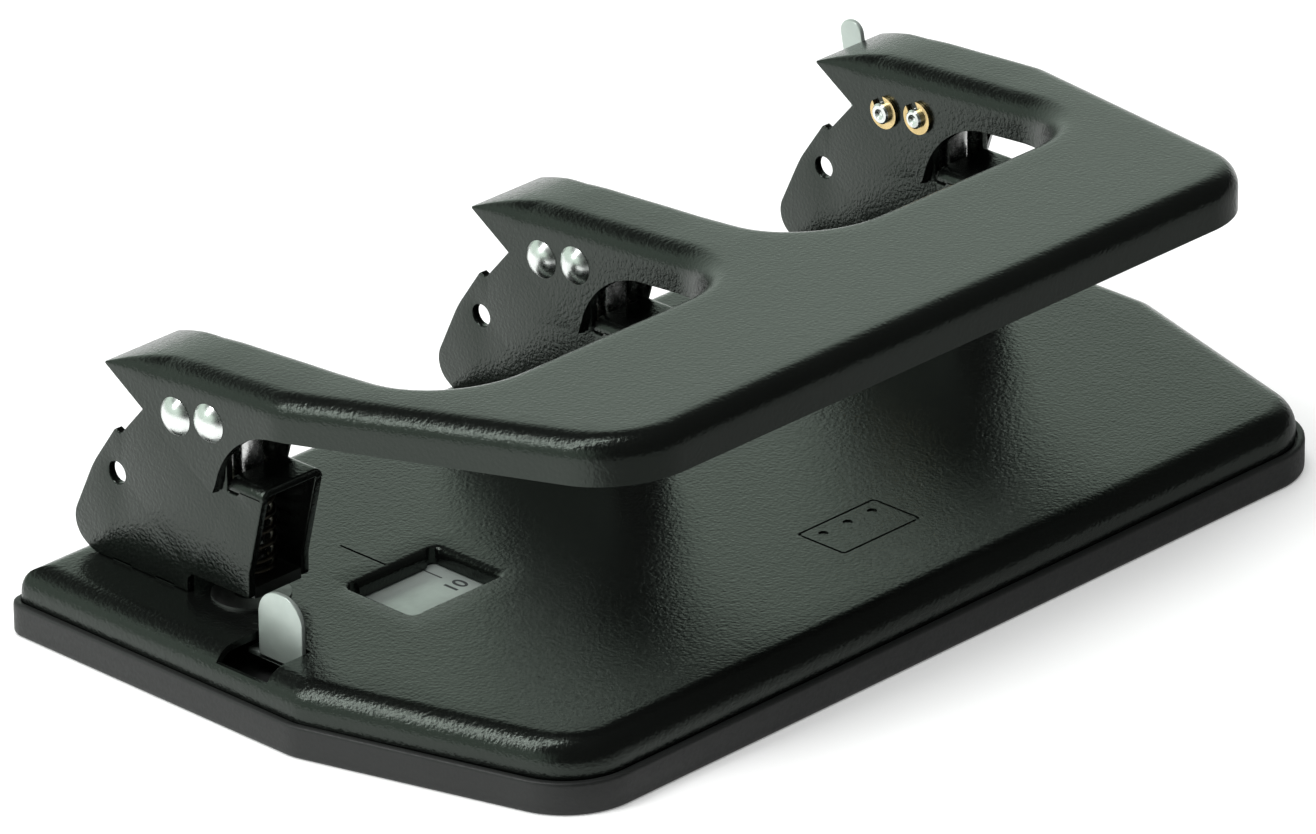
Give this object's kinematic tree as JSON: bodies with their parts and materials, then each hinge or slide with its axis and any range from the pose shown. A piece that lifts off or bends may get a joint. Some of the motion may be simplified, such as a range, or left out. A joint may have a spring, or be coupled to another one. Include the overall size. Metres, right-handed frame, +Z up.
{
  "type": "three-hole paper punch",
  "caption": "Heavy-duty paper punch: sloped steel handle on punch heads over a rubber-panned deck, with a sliding paper guide and lock lever.",
  "frame": {"origin": "bottom centre of the base", "axes": "+X along the length, +Y to the back where the heads stand, +Z up"},
  "size_m": [0.2684, 0.1516, 0.0771],
  "materials": {
    "black_paint": "semi-gloss fine orange-peel",
    "rubber": "matte",
    "nickel": "bright",
    "satin_nickel": "satin",
    "punch_steel": "ground",
    "plain_steel": "oiled",
    "yellow_zinc": "satin",
    "spring_steel": "oil-blacked"
  },
  "bodies": {
    "base": {"rubber_pan": "rubber", "deck": "black_paint", "head_left": "black_paint", "head_middle": "black_paint", "head_right": "black_paint", "guide_plate_left": "plain_steel", "guide_plate_middle": "plain_steel", "guide_plate_right": "plain_steel", "die_left": "plain_steel", "die_middle": "plain_steel", "die_right": "plain_steel", "spring_left": "spring_steel", "spring_middle": "spring_steel", "spring_right": "spring_steel", "guide_straps": "plain_steel", "lock_rivet": "nickel"},
    "punch_l": {"punch_left": "punch_steel", "collar_left": "spring_steel"},
    "punch_m": {"punch_middle": "punch_steel", "collar_middle": "spring_steel"},
    "punch_r": {"punch_right": "punch_steel", "collar_right": "spring_steel"},
    "handle": {"handle": "black_paint", "pivot_pin_left": "nickel", "pivot_pin_middle": "nickel", "pivot_pin_right": "nickel", "drive_pin_left": "nickel", "drive_pin_middle": "nickel", "drive_pin_right": "nickel", "pin_clips": "yellow_zinc"},
    "guide": {"paper_guide": "satin_nickel"},
    "lock": {"lock_lever": "satin_nickel"}
  },
  "joints": [
    {"name": "handle_hinge", "type": "hinge", "parent": "base", "child": "handle", "pos_m": [0, 0.038, 0.0568], "axis": [1, 0, 0], "range_deg": [0, 26.5], "stiffness_Nm_per_rad": 0.8, "springref_deg": -34.38},
    {"name": "punch_left_slide", "type": "slide", "parent": "base", "child": "punch_l", "axis": [0, 0, -1], "range_m": [0, 0.00463], "deforming": ["spring_left"]},
    {"name": "punch_middle_slide", "type": "slide", "parent": "base", "child": "punch_m", "axis": [0, 0, -1], "range_m": [0, 0.00463], "deforming": ["spring_middle"]},
    {"name": "punch_right_slide", "type": "slide", "parent": "base", "child": "punch_r", "axis": [0, 0, -1], "range_m": [0, 0.00463], "deforming": ["spring_right"]},
    {"name": "guide_slide", "type": "slide", "parent": "base", "child": "guide", "axis": [-1, 0, 0], "range_m": [0, 0.01]},
    {"name": "lock_hinge", "type": "hinge", "parent": "base", "child": "lock", "pos_m": [0.1142, 0.0587, 0.0365], "axis": [-1, 0, 0], "range_deg": [0, 35]}
  ],
  "couplings": [
    {"joint": "punch_left_slide", "follows": "handle_hinge", "m_per_rad": 0.01001},
    {"joint": "punch_middle_slide", "follows": "handle_hinge", "m_per_rad": 0.01001},
    {"joint": "punch_right_slide", "follows": "handle_hinge", "m_per_rad": 0.01001}
  ]
}
